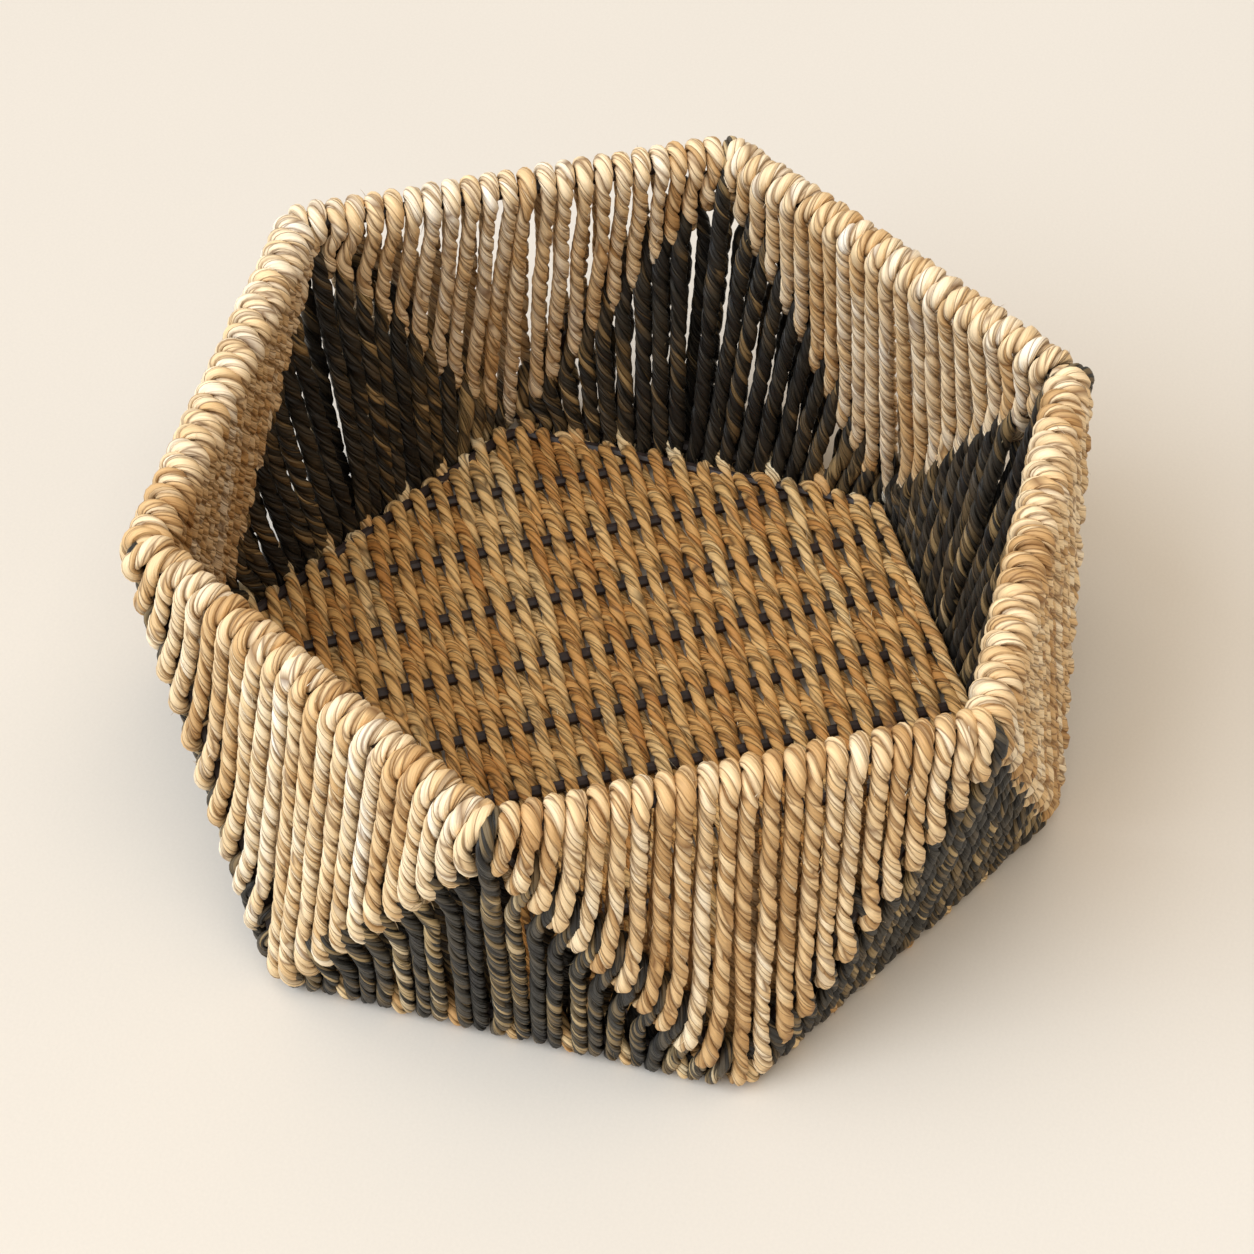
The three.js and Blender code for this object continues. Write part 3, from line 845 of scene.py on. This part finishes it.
# Pale matt paper under the basket: even and warm, with a faint tooth.
def backdrop_paper(colour):
    material, tree, shader = new_material("matt_backdrop_paper")
    place = node(tree, "ShaderNodeTexCoord").outputs["Object"]
    # tooth about 1 mm across, and clouds 200 mm across
    tooth = {"Vector": place, "Scale": 900.0, "Detail": 3.0}
    tooth = node(tree, "ShaderNodeTexNoise", tooth).outputs["Fac"]
    cloud = {"Vector": place, "Scale": 5.0, "Detail": 2.0}
    cloud = node(tree, "ShaderNodeTexNoise", cloud).outputs["Fac"]
    fleck = node(tree, "ShaderNodeMapRange", (tooth, 0.0, 1.0, 0.96, 1.03)).outputs[0]
    soft = node(tree, "ShaderNodeMapRange", (cloud, 0.0, 1.0, 0.975, 1.02)).outputs[0]
    shade = node(tree, "ShaderNodeMath", (fleck, soft), operation="MULTIPLY").outputs[0]
    colour = node(tree, "ShaderNodeMix", {0: 1.0, 6: colour, 7: shade}, **MULTIPLIED).outputs[2]
    tree.links.new(colour, shader.inputs["Base Color"])
    shader.inputs["Roughness"].default_value = 0.95
    shader.inputs["Specular IOR Level"].default_value = 0.1
    return material


# Settings


class BasketRopeSettings(bpy.types.PropertyGroup):
    """Sizes of the rope"""

    wall_diameter: FloatProperty(
        name="Wall rope diameter",
        description="Across the two-ply rope of the walls",
        default=0.0050,
        unit="LENGTH",
    )
    natural_lay: FloatProperty(
        name="Natural rope lay",
        description="Length in which a natural wall rope's plies turn once",
        default=0.0190,
        unit="LENGTH",
    )
    black_lay: FloatProperty(
        name="Black rope lay",
        description="Length in which a black wall rope's plies turn once",
        default=0.0215,
        unit="LENGTH",
    )
    strand_lean: FloatProperty(
        name="Strand lean",
        description="How far a wall strand leans from the upright at its ring",
        default=0.0015,
        unit="LENGTH",
    )
    floor_diameter: FloatProperty(
        name="Floor rope diameter",
        description="Across the two-ply rope of the floor",
        default=0.0047,
        unit="LENGTH",
    )
    floor_lay: FloatProperty(
        name="Floor rope lay",
        description="Length in which the floor rope's plies turn once",
        default=0.0185,
        unit="LENGTH",
    )
    floor_pitch: FloatProperty(
        name="Floor rope pitch",
        description="From one pass of the floor rope to the next",
        default=0.0040,
        unit="LENGTH",
    )


class BasketStageSettings(bpy.types.PropertyGroup):
    """Paper and light"""

    paper: FloatVectorProperty(
        name="Paper",
        description="Colour of the paper under the basket",
        default=linear("#d6cec2")[:3],
        subtype="COLOR",
        min=0.0,
        max=1.0,
    )
    window_strength: FloatProperty(
        name="Window strength",
        description="Light from the large window, in watts to a square metre",
        default=3.1,
    )
    ceiling_power: FloatProperty(
        name="Ceiling power",
        description="Power of the soft lamp overhead",
        default=54.0,
        unit="POWER",
    )
    fill: FloatProperty(
        name="Sky light",
        description="Strength of the even light from all round",
        default=0.57,
    )


# Pieces

NATURAL_SEED = 100
BLACK_SEED = 200
FLOOR_SEED = 300

WALL_SOFTNESS = 1.5
WALL_WANDER = 0.16
WALL_HAIRS = 70
FLOOR_SOFTNESS = 1.6
FLOOR_WANDER = 0.14
FLOOR_HAIRS = 60
FLOOR_RISE = 0.42  # share of its diameter by which the floor rope clears a rod

NATURAL_WINDING = Winding(
    square=(0.08, 0.2),
    turn_in=(10.0, 17.0),
    proud=0.9,
    open_work=0.45,
    fan=0.22,
    bow=0.25,
    ring_flare=0.24,
)
BLACK_WINDING = Winding(fan=-0.06, bow=0.1, ring_flare=0.06, inner_flare=0.19)
# The natural panel at the back is wound loosely: its strands lean and sway, and let light in
OPEN_SIDE = 3
OPEN_LEAN = 1.83
OPEN_WORK = -0.13
OPEN_BOW = 1.2
# What each natural panel leaves free at its two corners
NATURAL_ROOM = ((3.6, 2.7), (4.2, 2.4), (4.0, 4.8), (2.6, 2.8), (2.5, 1.4), (3.9, 1.3))
# Natural rope comes in batches of uneven tone, and each panel is also paler or darker as painted
# light and shade for how it faces the window: how much paler each panel's rope is
NATURAL_BATCH_AND_LIGHT = (-0.36, -0.26, 0.34, 0.36, 0.24, 0.04)
# For the black panel under each rim corner: how far its middle strand stands out over the corner,
# how far strands make way for the floor rope, the lean as a share, and how much paler its rope is,
# which is painted shade on the two panels that face away from the window
BLACK_CLEAR = (1.5, 0.5, 1.3, 0.7, -0.9, -0.9)
BLACK_PUSH = (1.6, 1.6, 0.9, 0.9, 0.9, 1.6)
BLACK_LEAN = (1.0, 1.0, 1.0, 0.5, 1.0, 1.0)
BLACK_PAINTED_SHADE = (0.0, 0.0, -0.2, -0.2, 0.0, 0.0)


def wind_panel(work, panel, winding, lay, settings):
    """Winds one wall panel with one rope."""
    diameter = mm(settings.wall_diameter)
    reach = WIRE_RADIUS + diameter / 2
    route, inner, flare = winding_route(panel, work.rng, reach, winding)
    manner = (WALL_SOFTNESS, RING_STEP, WALL_WANDER)
    points = rope_along(work, route, inner, flare, diameter, mm(lay), *manner)
    work.add_hairs(points, diameter, WALL_HAIRS)


class BASKET_OT_wind_natural(bpy.types.Operator):
    """Winds the six natural panels that hang from the rim"""

    bl_idname = "basket.wind_natural"
    bl_label = "Wind natural panels"

    def execute(self, context):
        settings = context.scene.basket_rope
        material = grass_rope(NATURAL_GRASS)
        lean = mm(settings.strand_lean)
        for side in range(6):
            panel = Panel(rim_corner(side + 1), rim_corner(side), base_corner(side), False)
            winding = NATURAL_WINDING._replace(room=NATURAL_ROOM[side], lean=lean)
            if side == OPEN_SIDE:
                winding = winding._replace(lean=lean * OPEN_LEAN, open_work=OPEN_WORK, bow=OPEN_BOW)
            work = RopeWork(f"natural_rope_{side + 1}", NATURAL_SEED + side, NATURAL_BATCH_AND_LIGHT[side])
            wind_panel(work, panel, winding, settings.natural_lay, settings)
            work.build(material, "root", [f"natural_winding_{side + 1}"])
        return {"FINISHED"}


class BASKET_OT_wind_black(bpy.types.Operator):
    """Winds the six black panels that stand on the base ring"""

    bl_idname = "basket.wind_black"
    bl_label = "Wind black panels"

    def execute(self, context):
        settings = context.scene.basket_rope
        material = grass_rope(BLACK_GRASS)
        lean = mm(settings.strand_lean)
        tips = floor_tips(mm(settings.floor_pitch))
        for side in range(6):
            panel = Panel(base_corner(side - 1), base_corner(side), rim_corner(side), True)
            winding = BLACK_WINDING._replace(
                lean=lean * BLACK_LEAN[side],
                clear=BLACK_CLEAR[side],
                tips=tips_along(panel, tips),
                push=BLACK_PUSH[side],
            )
            work = RopeWork(f"black_rope_{side + 1}", BLACK_SEED + side, BLACK_PAINTED_SHADE[side])
            wind_panel(work, panel, winding, settings.black_lay, settings)
            work.build(material, "root", [f"black_winding_{side + 1}"])
        return {"FINISHED"}


class BASKET_OT_weave_floor(bpy.types.Operator):
    """Weaves the floor rope over and under the rods and round the base ring"""

    bl_idname = "basket.weave_floor"
    bl_label = "Weave floor"

    def execute(self, context):
        settings = context.scene.basket_rope
        material = grass_rope(FLOOR_GRASS)
        rows = floor_passes(mm(settings.floor_pitch))
        diameter = mm(settings.floor_diameter)
        lay = mm(settings.floor_lay)
        rise = ROD_RADIUS + diameter * FLOOR_RISE
        half = len(rows) // 2
        for number, part in enumerate((rows[:half], rows[half:])):
            work = RopeWork(f"floor_rope_{number + 1}", FLOOR_SEED + number)
            route, _ = floor_route(part, rise, number * half)
            route = edge_run(route, part, rise, number == 0) @ FLOOR_TURN
            # which floor rope lies inside the basket, where the material lays painted warm shade on
            # it
            inner = inside_edge(route)
            flare = np.zeros(len(route))
            manner = (FLOOR_SOFTNESS, FLOOR_RING_STEP, FLOOR_WANDER)
            points = rope_along(work, route, inner, flare, diameter, lay, *manner)
            work.add_hairs(points, diameter, FLOOR_HAIRS)
            work.build(material, "root", ["floor_weave"])
        return {"FINISHED"}


class BASKET_OT_paint_wire(bpy.types.Operator):
    """Gives the welded wire frame its dip paint"""

    bl_idname = "basket.paint_wire"
    bl_label = "Paint wire frame"

    def execute(self, context):
        material = painted_wire()
        wires = ("rim_", "base_", "strut_", "floor_edge", "floor_rod")
        for name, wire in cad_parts.items():
            if not name.startswith(wires):
                continue
            if wire.data.materials:
                wire.data.materials[0] = material
            else:
                wire.data.materials.append(material)
        return {"FINISHED"}


# Stage, in metres

PAPER_REACH = 2.0
PAPER_LINES = 9
SKY_LIGHT = "#ffeed9"
SKY_SEEN = "#f2eadf"
# A wide window to the left of the camera, far enough off to light the paper evenly
WINDOW_PLACE = Vector((2.86, -3.9, 3.57))
WINDOW_AIM = Vector((0.0, 0.0, 0.05))
WINDOW_ANGLE = math.radians(56.0)
WINDOW_COLOUR = (0.68, 0.82, 1.0)
CEILING_PLACE = (1.05, 0.05, 2.85)
CEILING_SIDE = 2.6
CEILING_COLOUR = (1.0, 0.97, 0.92)
# The photograph's camera, fitted to the twelve corners of rim and base ring
AZIMUTH = math.radians(12.38)
ELEVATION = math.radians(49.59)
ROLL = math.radians(2.578)
EYE_DISTANCE = 1.0575
EYE_TARGET = Vector((0.00633, 0.00575, 0.060))
FOCAL_LENGTH = 92.57  # in millimetres, as the next
SENSOR_WIDTH = 36.0


def lay_paper(scene, colour):
    """Lays the paper, as a grid so that no face is large."""
    steps = np.linspace(-PAPER_REACH, PAPER_REACH, PAPER_LINES)
    points = [(x, y, 0.0) for y in steps for x in steps]
    firsts = [
        row * PAPER_LINES + column
        for row in range(PAPER_LINES - 1)
        for column in range(PAPER_LINES - 1)
    ]
    faces = [(at, at + 1, at + 1 + PAPER_LINES, at + PAPER_LINES) for at in firsts]
    mesh = bpy.data.meshes.new("backdrop")
    mesh.from_pydata(points, [], faces)
    mesh.materials.append(backdrop_paper(colour))
    paper = bpy.data.objects.new("backdrop", mesh)
    scene.collection.objects.link(paper)


def light_sky(scene, fill):
    """Even light from all round; cameras, glossy and clear surfaces see it as pale as the paper."""
    world = bpy.data.worlds.new("even_sky")
    scene.world = world
    world.use_nodes = True
    tree = world.node_tree
    sky = tree.nodes["Background"]
    sky.inputs["Color"].default_value = linear(SKY_LIGHT)
    sky.inputs["Strength"].default_value = fill
    seen = node(tree, "ShaderNodeBackground", {"Color": linear(SKY_SEEN), "Strength": 1.0})
    ray = node(tree, "ShaderNodeLightPath").outputs
    direct = ray["Is Camera Ray"]
    for kind in ("Is Glossy Ray", "Is Transmission Ray"):
        direct = node(tree, "ShaderNodeMath", (direct, ray[kind]), operation="MAXIMUM").outputs[0]
    mix = node(tree, "ShaderNodeMixShader", (direct, sky.outputs[0], seen.outputs[0]))
    tree.links.new(mix.outputs[0], tree.nodes["World Output"].inputs["Surface"])


def hang_lamps(scene, window_strength, ceiling_power):
    lamp = bpy.data.lights.new("window", "SUN")
    lamp.angle = WINDOW_ANGLE
    lamp.energy = window_strength
    lamp.color = WINDOW_COLOUR
    window = bpy.data.objects.new("window", lamp)
    window.location = WINDOW_PLACE
    window.rotation_euler = (WINDOW_AIM - WINDOW_PLACE).to_track_quat("-Z", "Y").to_euler()
    scene.collection.objects.link(window)

    lamp = bpy.data.lights.new("ceiling", "AREA")
    lamp.shape = "SQUARE"
    lamp.size = CEILING_SIDE
    lamp.energy = ceiling_power
    lamp.color = CEILING_COLOUR
    ceiling = bpy.data.objects.new("ceiling", lamp)
    ceiling.location = CEILING_PLACE
    scene.collection.objects.link(ceiling)


def stand_camera(scene):
    level = math.cos(ELEVATION)
    back = (level * math.cos(AZIMUTH), level * math.sin(AZIMUTH), math.sin(ELEVATION))
    back = Vector(back)
    right = Vector((-math.sin(AZIMUTH), math.cos(AZIMUTH), 0.0))
    up = back.cross(right)
    tilted_right = right * math.cos(ROLL) + up * math.sin(ROLL)
    tilted_up = up * math.cos(ROLL) - right * math.sin(ROLL)
    turned = Matrix((tilted_right, tilted_up, back)).transposed().to_4x4()
    lens = bpy.data.cameras.new("photo_view")
    lens.lens = FOCAL_LENGTH
    lens.sensor_width = SENSOR_WIDTH
    lens.clip_start = 0.01
    lens.clip_end = 20.0
    camera = bpy.data.objects.new("photo_view", lens)
    camera.matrix_world = Matrix.Translation(EYE_TARGET + back * EYE_DISTANCE) @ turned
    scene.collection.objects.link(camera)
    scene.camera = camera


class BASKET_OT_set_stage(bpy.types.Operator):
    """Lays the paper, hangs the soft light and stands the camera"""

    bl_idname = "basket.set_stage"
    bl_label = "Set stage"

    def execute(self, context):
        scene = context.scene
        settings = scene.basket_stage
        lay_paper(scene, list(settings.paper) + [1.0])
        light_sky(scene, settings.fill)
        hang_lamps(scene, settings.window_strength, settings.ceiling_power)
        stand_camera(scene)
        scene.view_settings.view_transform = "Standard"
        return {"FINISHED"}


# Add-on

STEPS = (
    BASKET_OT_set_stage,
    BASKET_OT_paint_wire,
    BASKET_OT_wind_natural,
    BASKET_OT_wind_black,
    BASKET_OT_weave_floor,
)


class BASKET_PT_panel(bpy.types.Panel):
    """Lists the basket's pieces and their settings"""

    bl_label = "Basket"
    bl_idname = "BASKET_PT_panel"
    bl_space_type = "VIEW_3D"
    bl_region_type = "UI"
    bl_category = "Basket"

    def draw(self, context):
        layout = self.layout
        for settings in (context.scene.basket_rope, context.scene.basket_stage):
            column = layout.column(align=True)
            for name in type(settings).__annotations__:
                column.prop(settings, name)
        for operator in STEPS:
            layout.operator(operator.bl_idname)


CLASSES = (BasketRopeSettings, BasketStageSettings, *STEPS, BASKET_PT_panel)


def register():
    for made in CLASSES:
        bpy.utils.register_class(made)
    bpy.types.Scene.basket_rope = PointerProperty(type=BasketRopeSettings)
    bpy.types.Scene.basket_stage = PointerProperty(type=BasketStageSettings)


def unregister():
    del bpy.types.Scene.basket_stage
    del bpy.types.Scene.basket_rope
    for made in reversed(CLASSES):
        bpy.utils.unregister_class(made)


def main():
    register()
    bpy.ops.basket.set_stage()
    bpy.ops.basket.paint_wire()
    bpy.ops.basket.wind_natural()
    bpy.ops.basket.wind_black()
    bpy.ops.basket.weave_floor()


if __name__ == "__main__":
    main()
